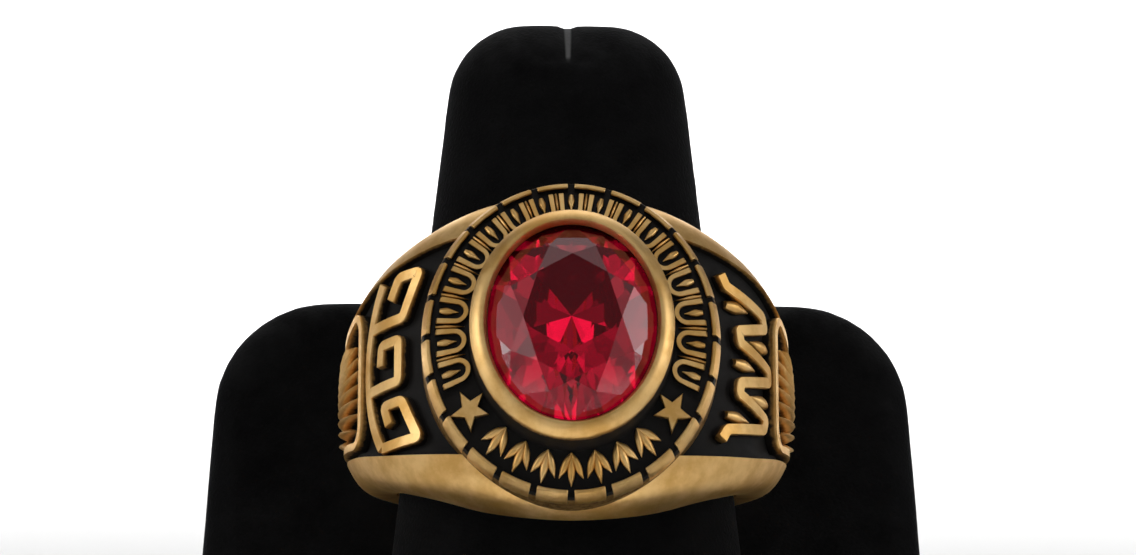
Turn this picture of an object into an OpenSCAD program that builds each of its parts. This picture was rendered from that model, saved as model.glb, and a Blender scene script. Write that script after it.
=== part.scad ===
// Cast class ring with an oval faceted stone, resting on a plain velvet ring stand.
// Millimetres. The stand's foot lies on z = 0 with the origin at the middle of its
// footprint, the ring's face looks towards -y, and +z is up.
// The ring is drawn in its own frame, where z runs along the finger hole and the
// head looks towards -y, and is then leaned back onto the stand's finger.

/* [Finger hole and shank] */
// Diameter of the finger hole
bore_d = 19.8; // [18:0.1:21.5]
// Metal thickness at the back of the shank
back_wall = 1.9; // [1.5:0.1:2.4]
// Metal thickness at the sides of the ring
side_wall = 2.85; // [2.6:0.05:3.3]
// Width of the shank at the back, along the finger
back_w = 6; // [5:0.1:7.5]
// How far the polished edge stands out past the head plate, along the finger
skirt = 0.3; // [0.3:0.02:1]
// Width of the polished slope between the side panels and the finger hole
slope_w = 2.1; // [1.7:0.05:2.5]
// How far the polished slope bulges out
slope_bulge = 0.7; // [0.3:0.05:0.9]

/* [Side panels] */
// Depth of the darkened side panels
panel_depth = 0.6; // [0.4:0.05:0.8]
// Width of the lip that frames a side panel
panel_lip = 0.12; // [0.06:0.02:0.4]
// Angle from the head at which a panel's ends begin to close
panel_round = 105; // [100:1:110]
// Angle from the head at which a panel ends
panel_end = 123; // [118:1:130]
// Height of the key and zigzag ornament over the panel floor
key_h = 0.6; // [0.4:0.05:0.8]
// Width of the strokes in the key and zigzag ornament
key_t = 0.68; // [0.5:0.02:0.76]
// Height of the palm fans over the panel floor
fan_h = 1.3; // [0.9:0.05:1.5]
// Height of the border round a palm fan over the panel floor
border_h = 0.8; // [0.5:0.05:1]
// Width of that border
border_t = 0.5; // [0.3:0.02:0.6]

/* [Stone] */
// Width of the stone across the finger
stone_w = 10; // [9:0.1:11]
// Length of the stone along the finger
stone_l = 12; // [11:0.1:13]
// Width of the table facet
table_w = 5.5; // [4.8:0.1:6.2]
// Length of the table facet
table_l = 7.4; // [6.6:0.1:8]
// Height of the crown, from girdle to table
crown_h = 1.45; // [1.2:0.05:1.7]
// Thickness of the girdle
girdle_t = 0.15; // [0.1:0.05:0.3]
// Depth of the pavilion, from girdle to keel
pavilion_h = 3.8; // [3.5:0.05:4.2]
// Gap between the stone and its seat
stone_gap = 0.08; // [0.05:0.01:0.15]

/* [Head] */
// Metal left between the stone's keel and the finger hole
point_floor = 1.7; // [1.4:0.05:2.1]
// How far the bezel's lip reaches over the stone
lip_reach = 0.27; // [0.15:0.01:0.35]
// Height of the bezel's lip above the girdle
lip_h = 0.85; // [0.6:0.05:1.1]
// Bezel thickness outside the stone
bezel_t = 0.74; // [0.6:0.02:1]
// Height of the bezel above the ornament field
bezel_h = 2.85; // [2.3:0.05:3.2]
// How far the bezel's top face falls from its lip to its outer edge
bezel_fall = 0.64; // [0.4:0.02:0.8]
// Width of the ornament field between bezel and rim
field_w = 2.2; // [1.8:0.05:2.4]
// How far the field rises from the rim to the bezel
field_rise = 0.65; // [0.4:0.05:0.8]
// Height of the rim above the field beside it
rim_h = 0.35; // [0.25:0.01:0.5]
// Width of the rim's flat top
rim_t = 0.2; // [0.14:0.02:0.3]
// How far the rim's outer slope stands out
rim_flare = 0.3; // [0.2:0.02:0.4]
// Height of the rim's outer slope
rim_slope_h = 0.7; // [0.5:0.05:0.9]
// Number of bars in the rim
rim_bars = 24; // [16:2:32]
// Width of the notches between the bars
rim_notch = 0.37; // [0.25:0.01:0.5]

/* [Ornament field] */
// Height of the ornament above the field
ornament_h = 0.32; // [0.2:0.02:0.4]
// Outer radius of the two stars
star_r = 1.22; // [1:0.02:1.3]
// Number of palmettes below the stone
palmettes = 7; // [5:2:7]
// Number of eggs in the egg-and-dart band above the stone
eggs = 17; // [14:1:18]

/* [Stand] */
// How far the stand's finger leans back from upright, in degrees
lean = 26; // [20:1:32]
// Gap between the stand's finger and the ring where the ring wedges on it
seat_gap = 0.15; // [0.1:0.05:0.4]
// Taper of each side of the stand's finger, in degrees
finger_taper = 6.2; // [4:0.1:8]
// Thickness of the stand's finger
finger_t = 9.4; // [8.8:0.1:10]
// Length of the stand's finger above the middle of the ring
finger_up = 23.8; // [20:0.1:28]
// Width of the cover's fold at the finger's tip
fold_w = 0.4; // [0.2:0.05:0.8]
// Length of that fold down the finger
fold_l = 2.6; // [1.5:0.1:4]
// Height of the middle of the ring above the top of the foot, along the finger
ring_up = 22; // [20:0.5:26]
// Gap between the back of the shank and the stand's panel
panel_gap = 0.6; // [0.4:0.1:1.5]
// Height of the panel's top above the middle of the ring, along the finger
panel_up = 11.3; // [10:0.1:14]
// Width of the panel at its shoulders
shoulder_w = 42.6; // [38:0.1:46]
// Radius of the shoulders
shoulder_r = 7; // [5:0.1:9]
// Thickness of the panel at its top
panel_t = 5.2; // [4.5:0.1:7]
// Rounding of the stand's edges
edge_r = 1.8; // [1:0.1:2.2]
// Width of the foot
foot_w = 45.5; // [44:0.5:52]
// Depth of the foot
foot_d = 40; // [38:0.5:46]
// Height of the foot in front of the panel
foot_h = 7; // [5:0.5:9]
// Distance from the front of the foot to the stand's finger
foot_margin = 3; // [2:0.5:5]

/* [Hidden] */

GOLD = [0.78, 0.62, 0.36];
RUBY = [0.6, 0.02, 0.1];
VELVET = [0.03, 0.03, 0.035];

bore_r = bore_d / 2;
root = 0.15;              // how deep raised ornament is rooted in its floor
plate_root = 0.6;         // how far outside the finger hole the head plate begins
tip = 0.02;               // half width of a pointed end

// Distances from the middle of the finger hole to levels in the head
point_y = bore_r + point_floor;
girdle_y = point_y + pavilion_h;
lip_y = girdle_y + girdle_t + lip_h;
field_in_y = lip_y - bezel_h;
field_out_y = field_in_y - field_rise;
rim_y = field_out_y + rim_h;

// Outlines of the head, as distances outside the stone's girdle
field_mid = bezel_t + field_w / 2;
field_out = bezel_t + field_w;
rim_out = field_out + rim_t;
plate_out = rim_out + rim_flare;
oval_points = 48;

plate_half_w = stone_w / 2 + plate_out;
plate_half_l = stone_l / 2 + plate_out;
head_w = 2 * (plate_half_l + skirt);

// The band from the head to the back. Columns: angle from the head, share of the extra
// wall at the sides, share of the extra width at the head, share of the slope's width.
ANGLE = 0;
WALL = 1;
WIDTH = 2;
SLOPE = 3;
BAND = [
    [0,   0.70, 1.00, 1.30],
    [25,  1.60, 0.91, 1.22],
    [50,  1.55, 0.67, 0.92],
    [70,  1.25, 0.48, 0.84],
    [90,  1.00, 0.34, 0.80],
    [125, 0.50, 0.15, 0.60],
    [155, 0.12, 0.04, 0.40],
    [180, 0.00, 0.00, 0.33]];
BAND_ANGLES = [each [0 : 6 : 102], each [105 : 4.5 : 123], each [132 : 8 : 180]];

// The row of BAND that angle a follows
function band_row(a, i = 0) =
    i >= len(BAND) - 2 || a < BAND[i + 1][ANGLE] ? i : band_row(a, i + 1);

function band_slope(i, column) =
    i == 0 || i == len(BAND) - 1 ? 0
    : (BAND[i + 1][column] - BAND[i - 1][column]) / (BAND[i + 1][ANGLE] - BAND[i - 1][ANGLE]);

// A smooth curve through one column of BAND, as a cubic between its rows
function band_value(a, column) =
    let (i = band_row(a),
         run = BAND[i + 1][ANGLE] - BAND[i][ANGLE],
         t = (a - BAND[i][ANGLE]) / run,
         t2 = t * t,
         t3 = t2 * t)
    BAND[i][column] * (2 * t3 - 3 * t2 + 1) + BAND[i + 1][column] * (3 * t2 - 2 * t3)
    + run * (band_slope(i, column) * (t3 - 2 * t2 + t) + band_slope(i + 1, column) * (t3 - t2));

function outer_r(a) = bore_r + back_wall + (side_wall - back_wall) * band_value(a, WALL);
function edge_half(a) = (back_w + (head_w - back_w) * band_value(a, WIDTH)) / 2;
function face_half(a) = edge_half(a) - slope_w * band_value(a, SLOPE);
function panel_close(a) =
    a <= panel_round ? 1
    : sqrt(max(0, 1 - pow((a - panel_round) / (panel_end - panel_round), 2)));
function panel_half(a) = (face_half(a) - panel_lip) * panel_close(a);
function panel_floor_r(a) = outer_r(a) - panel_depth;

// A solid through a list of outlines with the same even number of points, each outline
// running round the same way. Its ends are closed by strips between facing points.
module loft(outlines, closed = false) {
    count = len(outlines);
    points = len(outlines[0]);
    sides = [
        for (i = [0 : count - (closed ? 1 : 2)], j = [0 : points - 1], half = [0, 1])
        let (a = i * points + j,
             b = i * points + (j + 1) % points,
             c = ((i + 1) % count) * points + (j + 1) % points,
             d = ((i + 1) % count) * points + j)
        half == 0 ? [a, b, c] : [a, c, d]];
    strips = [for (k = [0 : points / 2 - 2]) [k, k + 1, points - 2 - k, points - 1 - k]];
    ends = closed ? [] : [
        for (strip = strips) each [
            [for (k = [3 : -1 : 0]) strip[k]],
            [for (k = strip) (count - 1) * points + k]]];
    polyhedron([for (outline = outlines) each outline], concat(sides, ends), convexity = 10);
}

// The polished slope from the finger hole's edge out to the panel's lip, as [r, z]
function slope_curve(a, steps = 3) =
    let (low = [bore_r, edge_half(a)],
         high = [outer_r(a), face_half(a)],
         run = high - low,
         out = [-run[1], run[0]] / norm(run))
    [for (k = [0 : steps]) low + run * k / steps + out * slope_bulge * sin(180 * k / steps)];

// One cut through the band at angle a, as [r, z], from its lower edge round to its upper one
function band_section(a) =
    let (open = a < panel_end,
         half = open ? max(panel_half(a), tip) : tip,
         upper = [
             each slope_curve(a),
             [outer_r(a), min(half + panel_depth / 5, face_half(a) - tip)],
             [open ? panel_floor_r(a) : outer_r(a), half]])
    concat([for (p = upper) [p[0], -p[1]]],
           [for (k = [len(upper) - 1 : -1 : 0]) upper[k]]);

module band() {
    last = len(BAND_ANGLES) - 1;
    whole = concat(BAND_ANGLES, [for (k = [last - 1 : -1 : 1]) 360 - BAND_ANGLES[k]]);
    loft([
        for (a = whole)
        [for (p = band_section(a > 180 ? 360 - a : a)) [p[0] * sin(a), -p[0] * cos(a), p[1]]]],
        closed = true);
}

// An oval outline, this far outside the girdle and at this distance from the hole's middle
function oval(out, y) = [
    for (k = [0 : oval_points - 1])
    let (a = -(k + 0.5) * 360 / oval_points)
    [(stone_w / 2 + out) * cos(a), -y, (stone_l / 2 + out) * sin(a)]];

// The head plate's outline where it meets the band, wrapped round the finger hole
function plate_foot() =
    [for (p = oval(plate_out, 0)) [p[0], -sqrt(pow(bore_r + plate_root, 2) - pow(p[0], 2)), p[2]]];

// The oval head plate with its rim, sloping field and bezel
module plate() {
    loft([
        plate_foot(),
        oval(plate_out, rim_y - rim_slope_h),
        oval(rim_out, rim_y),
        oval(field_out, rim_y),
        oval(field_out - rim_h / 6, field_out_y),
        oval(bezel_t + tip, field_in_y),
        oval(bezel_t - tip, lip_y - bezel_fall),
        oval(bezel_t * 0.75, lip_y - bezel_fall / 2),
        oval(0, lip_y)]);
}

// The seat that the stone drops into, open at the bezel's lip
module seat() {
    loft([
        oval(-stone_w / 2 + lip_reach, point_y - stone_gap),
        oval(2 * stone_gap, girdle_y - stone_gap),
        oval(2 * stone_gap, girdle_y + girdle_t + stone_gap),
        oval(-lip_reach, girdle_y + girdle_t + stone_gap + lip_reach),
        oval(-lip_reach, lip_y + root)]);
}

module rim_notches() {
    length = rim_t + rim_flare + 2 * root;
    for (k = [0 : rim_bars - 1]) {
        a = k * 360 / rim_bars;
        across = sin(a) / (stone_w / 2 + field_out);
        along = cos(a) / (stone_l / 2 + field_out);
        translate([(stone_w / 2 + field_out) * sin(a), -rim_y, -(stone_l / 2 + field_out) * cos(a)])
            rotate([0, atan2(along, across), 0])
                translate([-root, -root, -rim_notch / 2])
                    cube([length, rim_h + 2 * root, rim_notch]);
    }
}

// Places on the ornament field: u runs round it from the bottom of the head, v outwards
// from its middle and h up from its floor
field_r = (stone_w + stone_l) / 4 + field_mid;
on_field = function (u, v, h)
    let (a = u / field_r * 180 / PI)
    [(stone_w / 2 + field_mid + v) * sin(a),
     -(field_in_y - field_rise * (v / field_w + 0.5) + h),
     -(stone_l / 2 + field_mid + v) * cos(a)];

// Places on the left side panel: u runs round the ring from the head, v along the finger
// and h up from the panel's floor
panel_r = bore_r + side_wall - panel_depth;
on_panel = function (u, v, h)
    let (a = u / panel_r * 180 / PI,
         r = panel_floor_r(a) + h)
    [-r * sin(a), -r * cos(a), v];

// A stroke of even height along a path of [u, v] points, with mitred corners and sides that lean
// in towards its top
module stroke(map, path, width, height) {
    last = len(path) - 1;
    lean_in = 0.8;
    loft([
        for (i = [0 : last])
        let (before = path[i] - path[max(i - 1, 0)],
             after = path[min(i + 1, last)] - path[i],
             d1 = i == 0 ? after / norm(after) : before / norm(before),
             d2 = i == last ? d1 : after / norm(after),
             side = [-(d1 + d2)[1], (d1 + d2)[0]] * width / (norm(d1 + d2) * norm(d1 + d2)),
             p = path[i])
        [map(p[0] - side[0], p[1] - side[1], -root),
         map(p[0] + side[0], p[1] + side[1], -root),
         map(p[0] + side[0] * lean_in, p[1] + side[1] * lean_in, height),
         map(p[0] - side[0] * lean_in, p[1] - side[1] * lean_in, height)]]);
}

// The solid that spans a set of mapped [u, v, h] corners
module span(map, corners) {
    hull()
        polyhedron([for (c = corners) map(c[0], c[1], c[2])], [[for (k = [0 : len(corners) - 1]) k]]);
}

// A ridged leaf. Columns: share of its length, of its half width and of its height.
LEAF = [[0.00, 0.20, 0.50], [0.35, 0.95, 1.00], [0.70, 0.75, 0.90], [1.00, 0.06, 0.40]];
BUD = [[0.00, 0.55, 0.70], [0.40, 1.00, 1.00], [1.00, 0.10, 0.50]];

// A leaf from foot along heading, in degrees from +u towards +v
module leaf(map, foot, heading, length, width, height, rows = LEAF) {
    along = [cos(heading), sin(heading)];
    across = [-along[1], along[0]];
    span(map, [
        for (row = rows, side = [-1, 0, 1])
        let (p = foot + along * length * row[0] + across * side * width / 2 * row[1])
        [p[0], p[1], side == 0 ? height * row[2] : -root]]);
}

// A five-pointed star with one point straight down the head, its foot wider than its top
module star(u) {
    inner = star_r * 0.42;
    lean_in = 0.82;
    turn = 90 + u / field_r * 180 / PI;
    rings = [
        for (level = [[1, -root], [lean_in, ornament_h]])
        [for (k = [0 : 9])
         let (r = (k % 2 == 0 ? star_r : inner) * level[0])
         on_field(u + r * cos(turn + 36 * k), r * sin(turn + 36 * k), level[1])]];
    next = function (k) (k + 1) % 10;
    polyhedron(
        [each rings[0], each rings[1], on_field(u, 0, -root), on_field(u, 0, ornament_h)],
        [for (k = [0 : 9]) each [
            [k, next(k), 10 + next(k), 10 + k],
            [next(k), k, 20],
            [10 + k, 10 + next(k), 21]]]);
}

// Where the stars stand and where the rows of ornament end, in degrees round the head
// from its bottom
star_angle = 56;
palmette_angle = 38;
egg_angle = 74;
function round_field(a) = a / 180 * PI * field_r;

// A palmette of three leaves, with its foot towards the bezel
module palmette(u) {
    tall = field_w * 0.82;
    foot_v = -field_w * 0.42;
    for (side = [-1, 0, 1])
        leaf(on_field, [u, foot_v], 90 - side * 31, tall * (1 - 0.14 * abs(side)), tall * 0.34,
             ornament_h);
}

// One egg in its cup, and the dart that follows it
module egg_and_dart(u, pitch, dart) {
    tall = field_w * 0.74;
    cup = pitch * 0.33;
    top = tall / 2;
    leaf(on_field, [u, top * 0.85], -90, tall * 0.66, cup * 0.85, ornament_h, BUD);
    stroke(on_field,
           [for (p = [[-1, 1], [-0.95, -0.35], [0, -1], [0.95, -0.35], [1, 1]])
            [u + cup * p[0], top * p[1]]],
           pitch * 0.17, ornament_h);
    if (dart)
        leaf(on_field, [u + pitch / 2, top], -90, tall, pitch * 0.17, ornament_h, BUD);
}

module field_ornament() {
    for (side = [-1, 1])
        star(side * round_field(star_angle));
    for (k = [0 : palmettes - 1])
        palmette(round_field(palmette_angle) * (2 * k / (palmettes - 1) - 1));
    pitch = 2 * round_field(180 - egg_angle) / (eggs - 1);
    for (k = [0 : eggs - 1])
        egg_and_dart(round_field(egg_angle) + k * pitch, pitch, k < eggs - 1);
}

// How far round the ring the head plate reaches, at v along the finger
function plate_edge(v) =
    panel_r * PI / 180
    * asin(plate_half_w * sqrt(max(0, 1 - pow(v / plate_half_l, 2))) / panel_r);

// The key ornament fills a panel's length beside the head plate, and follows its edge
key_reach = face_half(48) - panel_lip - key_t * 0.9;
key_w = 3.6;
key_clear = 0.5;
function key_point(across, v) = [plate_edge(v) + key_clear + key_w * across, v];

// A running key: a spine down the outside, with a hook of three bars at each turn
module running_key() {
    turns = 3;
    cell = 2 * key_reach / (3 * turns - 1);
    half_t = key_t / 2 / key_w;
    stroke(on_panel, [for (k = [0 : 8]) key_point(1 - half_t, key_reach * (1 - k / 4))], key_t, key_h);
    for (k = [0 : turns - 1]) {
        low = -key_reach + 3 * cell * k;
        stroke(on_panel,
               [key_point(1 - half_t, low), key_point(half_t, low), key_point(half_t, low + cell),
                key_point(half_t, low + 2 * cell), key_point(0.52, low + 2 * cell),
                key_point(0.52, low + cell)],
               key_t, key_h);
    }
}

// A zigzag from end to end of the panel, with a bud in each of its bays
module zigzag() {
    turns = 6;
    half_t = key_t / 2 / key_w;
    flat = key_t / 2;
    stroke(on_panel,
           [for (k = [0 : turns], side = [1, -1])
            key_point(k % 2 == 0 ? half_t : 1 - half_t,
                      (key_reach - flat) * (1 - 2 * k / turns) + side * flat)],
           key_t, key_h);
    for (k = [1 : turns - 1])
        leaf(on_panel, key_point(k % 2 == 0 ? 1 : 0, key_reach * (1 - 2 * k / turns)),
             k % 2 == 0 ? 180 : 0, key_w * 0.55, key_t * 1.3, key_h, BUD);
}

// The fans on the shoulders: where their border starts, in degrees from the head, and how
// far it stays inside the panel's edge
border_angle = 65;
border_inset = 0.55;
function round_panel(a) = a / 180 * PI * panel_r;
function border_half(a) = panel_half(a) - border_inset;

// A border across the panel and back along both its edges
module fan_border() {
    edge = [for (a = [100 : -8 : 68]) [round_panel(a), border_half(a)]];
    corner = [round_panel(border_angle), border_half(border_angle) - 0.9];
    half = concat(edge, [corner]);
    stroke(on_panel,
           concat(half, [for (k = [len(half) - 1 : -1 : 0]) [half[k][0], -half[k][1]]]),
           border_t, border_h);
}

// A fan of palm leaves that spreads from a panel's far end towards the head
module palm_fan() {
    foot_u = round_panel(panel_end - 8);
    length = foot_u - round_panel(border_angle + 4);
    half = border_half(border_angle + 10) - border_t;
    for (k = [-4 : 4]) {
        reach = [length * (1 - 0.012 * k * k), half * k / 4.2];
        leaf(on_panel, [foot_u, k * 0.12], 180 - atan2(reach[1], reach[0]), norm(reach), 0.95, fan_h);
    }
}

module ring_casting() {
    color(GOLD)
        difference() {
            union() {
                band();
                plate();
                field_ornament();
                running_key();
                fan_border();
                palm_fan();
                mirror([1, 0, 0]) {
                    zigzag();
                    fan_border();
                    palm_fan();
                }
            }
            seat();
            rim_notches();
        }
}

// Places in the stone's plan, and the outward direction of its girdle, at angle a
function girdle_point(a) = [stone_w / 2 * cos(a), stone_l / 2 * sin(a)];
function table_point(a) = [table_w / 2 * cos(a), table_l / 2 * sin(a)];
function girdle_normal(a) =
    let (n = [cos(a) / stone_w, sin(a) / stone_l])
    n / norm(n);

// The plane of a main facet from the girdle to inner, h above it, as [steepness, height over
// the stone's middle]
function main_plane(a, inner, h) =
    let (n = girdle_normal(a),
         steep = h / (n * (girdle_point(a) - inner)))
    [steep, steep * (n * girdle_point(a))];

// The corner that the mains at a and a + step share, this share of the way out to the girdle
function shared_corner(a, step, share, first, second) =
    let (ray = share * girdle_point(a + step / 2),
         side = [-ray[1], ray[0]],
         n1 = girdle_normal(a),
         n2 = girdle_normal(a + step),
         slide = ((first[1] - second[1]) - (first[0] * (n1 * ray) - second[0] * (n2 * ray)))
                 / (first[0] * (n1 * side) - second[0] * (n2 * side)),
         p = ray + slide * side)
    [p[0], p[1], first[1] - first[0] * (n1 * p)];

// An oval brilliant of eight mains, with its face up and its girdle's lower edge at z = 0. The
// mains below the girdle are turned half a step and end in a short keel.
module brilliant() {
    mains = 8;
    step = 360 / mains;
    star_share = 0.76;
    lower_share = 0.45;
    keel = (stone_l - stone_w) / 2;
    crown = [for (k = [0 : mains]) main_plane(k * step, table_point(k * step), crown_h)];
    under = [
        for (k = [0 : mains])
        let (a = (k + 0.5) * step)
        main_plane(a, [0, keel * sin(a)], pavilion_h)];
    corners = [
        for (k = [0 : mains - 1])
        let (a = k * step,
             over = shared_corner(a, step, star_share, crown[k], crown[k + 1]),
             below = shared_corner(a + step / 2, step, lower_share, under[k], under[k + 1]))
        each [
            [each table_point(a), girdle_t + crown_h],
            over + [0, 0, girdle_t],
            [each girdle_point(a), girdle_t],
            [each girdle_point(a + step / 2), girdle_t],
            [each girdle_point(a), 0],
            [each girdle_point(a + step / 2), 0],
            [below[0], below[1], -below[2]]]];
    hull()
        polyhedron(concat(corners, [for (end = [-1, 1]) [0, end * keel, -pavilion_h]]),
                   [[for (k = [0 : 7 * mains + 1]) k]]);
}

module stone() {
    color(RUBY)
        translate([0, -girdle_y, 0])
            rotate([90, 0, 0])
                brilliant();
}

// Where the stand's finger meets the top of the foot, and the ring's place up the finger
finger_y = -foot_d / 2 + foot_margin + finger_t / 2 / cos(lean);
module on_stand() {
    translate([0, finger_y + ring_up * sin(lean), foot_h + ring_up * cos(lean)])
        rotate([-lean, 0, 0])
            children();
}

// Half the finger's width at height z along it, so that the ring wedges where its sides end
function finger_half(z) = bore_r - seat_gap - tan(finger_taper) * (z + edge_half(90));

module stand_finger() {
    tip_r = finger_t / 2;
    tip_z = finger_up - tip_r;
    color(VELVET)
        difference() {
            hull() {
                on_stand()
                    for (side = [-1, 1])
                        translate([side * (finger_half(tip_z) - tip_r), 0, tip_z])
                            sphere(tip_r, $fn = 32);
                for (side = [-1, 1])
                    translate([side * (finger_half(-ring_up) - tip_r), finger_y, foot_h])
                        scale([1, 1 / cos(lean), 1])
                            cylinder(h = tip, r = tip_r, $fn = 32);
            }
            on_stand()
                translate([0, -tip_r, finger_up])
                    rotate([45, 0, 0])
                        cube([fold_w, finger_t, 2 * fold_l], center = true);
        }
}

// A disc with a rounded edge, standing in the plane of the panel
module shoulder() {
    rotate([90, 0, 0])
        rotate_extrude($fn = 40)
            hull()
                for (side = [-1, 1])
                    translate([shoulder_r - edge_r, side * (panel_t / 2 - edge_r)])
                        circle(edge_r, $fn = 16);
}

module stand_base() {
    panel_y = bore_r + back_wall + panel_gap;
    wedge_front = finger_y + (panel_y - foot_h * sin(lean)) / cos(lean);
    half_w = foot_w / 2 - edge_r;
    color(VELVET) {
        hull() {
            on_stand()
                for (side = [-1, 1])
                    translate([side * (shoulder_w / 2 - shoulder_r), panel_y + panel_t / 2,
                               panel_up - shoulder_r])
                        shoulder();
            for (x = [-half_w, half_w], y = [wedge_front + edge_r, foot_d / 2 - edge_r])
                translate([x, y, 0])
                    cylinder(h = edge_r, r = edge_r, $fn = 24);
        }
        hull()
            for (x = [-half_w, half_w], y = [edge_r - foot_d / 2, 0]) {
                translate([x, y, 0])
                    cylinder(h = edge_r, r = edge_r, $fn = 24);
                translate([x, y, foot_h - edge_r])
                    sphere(edge_r, $fn = 24);
            }
    }
}

on_stand() ring_casting();
on_stand() stone();
stand_base();
stand_finger();
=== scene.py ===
"""Class ring with an oval red stone on a velvet ring stand.

The ring is drawn in its own frame in millimetres, as in the part's source: z runs along the
finger hole and the head looks towards -y. It is then leaned back onto the stand's finger.
"""

import math

import bmesh
import bpy
import numpy as np
from mathutils import Matrix, Vector
from mathutils import noise as hash_noise


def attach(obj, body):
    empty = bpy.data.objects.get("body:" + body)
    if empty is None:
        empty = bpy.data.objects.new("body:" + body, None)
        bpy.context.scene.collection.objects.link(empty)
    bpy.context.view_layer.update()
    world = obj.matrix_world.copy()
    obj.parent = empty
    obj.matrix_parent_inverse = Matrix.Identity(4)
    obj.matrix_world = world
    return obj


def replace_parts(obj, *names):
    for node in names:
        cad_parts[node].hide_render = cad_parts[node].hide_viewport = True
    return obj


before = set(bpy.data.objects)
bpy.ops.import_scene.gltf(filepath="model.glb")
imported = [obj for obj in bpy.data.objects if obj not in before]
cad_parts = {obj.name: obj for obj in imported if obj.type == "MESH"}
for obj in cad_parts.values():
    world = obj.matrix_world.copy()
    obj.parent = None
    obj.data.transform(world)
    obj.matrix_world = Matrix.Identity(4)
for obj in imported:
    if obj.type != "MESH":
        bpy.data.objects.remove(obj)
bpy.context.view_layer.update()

# Sizes, in millimetres
BORE_R = 9.9
BACK_WALL, SIDE_WALL, BACK_W, SKIRT = 1.9, 2.85, 6.0, 0.3
SLOPE_W, SLOPE_BULGE = 2.1, 0.7
PANEL_DEPTH, PANEL_LIP, PANEL_ROUND, PANEL_END = 0.6, 0.12, 105.0, 123.0
KEY_H, KEY_T, FAN_H, BORDER_H, BORDER_T = 0.6, 0.68, 1.3, 0.8, 0.5
STONE_W, STONE_L = 10.0, 12.0
GIRDLE_T, PAVILION_H, STONE_GAP = 0.15, 3.8, 0.08
POINT_FLOOR, LIP_REACH, LIP_H = 1.7, 0.27, 0.85
BEZEL_T, BEZEL_H, BEZEL_FALL = 0.74, 2.85, 0.64
FIELD_W, FIELD_RISE = 2.2, 0.65
RIM_H, RIM_T, RIM_FLARE, RIM_SLOPE_H, RIM_BARS, RIM_NOTCH = 0.35, 0.2, 0.3, 0.7, 24, 0.37
ORNAMENT_H, STAR_R, PALMETTES, EGGS = 0.32, 1.22, 7, 17
LEAN, FINGER_T, FINGER_UP, RING_UP = 26.0, 9.4, 23.8, 22.0
FOOT_D, FOOT_H, FOOT_MARGIN = 40.0, 7.0, 3.0
SHOULDER_W, SHOULDER_R, PANEL_UP, PANEL_GAP = 42.6, 7.0, 11.3, 0.6
# How deep raised work is rooted in its ground, and the least width that a shape narrows to
ROOT, TIP = 0.15, 0.02

POINT_Y = BORE_R + POINT_FLOOR
GIRDLE_Y = POINT_Y + PAVILION_H
LIP_Y = GIRDLE_Y + GIRDLE_T + LIP_H
FIELD_IN_Y = LIP_Y - BEZEL_H
FIELD_OUT_Y = FIELD_IN_Y - FIELD_RISE
RIM_Y = FIELD_OUT_Y + RIM_H
FIELD_MID = BEZEL_T + FIELD_W / 2
FIELD_OUT = BEZEL_T + FIELD_W
RIM_OUT = FIELD_OUT + RIM_T
PLATE_OUT = RIM_OUT + RIM_FLARE
# How far outside the finger hole the head plate starts
PLATE_ROOT = 0.6
PLATE_HALF_W = STONE_W / 2 + PLATE_OUT
PLATE_HALF_L = STONE_L / 2 + PLATE_OUT
HEAD_W = 2 * (PLATE_HALF_L + SKIRT)
FIELD_R = (STONE_W + STONE_L) / 4 + FIELD_MID
PANEL_R = BORE_R + SIDE_WALL - PANEL_DEPTH

# Angle from the head, share of the extra wall, of the extra width and of the slope's width
BAND = np.array([
    [0, 0.70, 1.00, 1.30],
    [25, 1.60, 0.91, 1.22],
    [50, 1.55, 0.67, 0.92],
    [70, 1.25, 0.48, 0.84],
    [90, 1.00, 0.34, 0.80],
    [125, 0.50, 0.15, 0.60],
    [155, 0.12, 0.04, 0.40],
    [180, 0.00, 0.00, 0.33]])
WALL, WIDTH, SLOPE = 1, 2, 3


def band_value(a, column):
    """A smooth curve through one column of BAND, at angles a in degrees."""
    angles, values = BAND[:, 0], BAND[:, column]
    slopes = np.zeros(len(angles))
    slopes[1:-1] = (values[2:] - values[:-2]) / (angles[2:] - angles[:-2])
    a = np.abs(np.asarray(a, float))
    i = np.clip(np.searchsorted(angles, a, side="right") - 1, 0, len(angles) - 2)
    run = angles[i + 1] - angles[i]
    t = (a - angles[i]) / run
    t2, t3 = t * t, t * t * t
    return (values[i] * (2 * t3 - 3 * t2 + 1) + values[i + 1] * (3 * t2 - 2 * t3)
            + run * (slopes[i] * (t3 - 2 * t2 + t) + slopes[i + 1] * (t3 - t2)))


def outer_r(a):
    return BORE_R + BACK_WALL + (SIDE_WALL - BACK_WALL) * band_value(a, WALL)


def edge_half(a):
    return (BACK_W + (HEAD_W - BACK_W) * band_value(a, WIDTH)) / 2


def face_half(a):
    return edge_half(a) - SLOPE_W * band_value(a, SLOPE)


def panel_close(a):
    t = (np.abs(a) - PANEL_ROUND) / (PANEL_END - PANEL_ROUND)
    return np.where(t <= 0, 1.0, np.sqrt(np.clip(1 - np.clip(t, 0, None) ** 2, 0, 1)))


def panel_half(a):
    return (face_half(a) - PANEL_LIP) * panel_close(a)


def smooth(x, low, high):
    t = np.clip((np.asarray(x, float) - low) / (high - low), 0, 1)
    return t * t * (3 - 2 * t)


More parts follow.
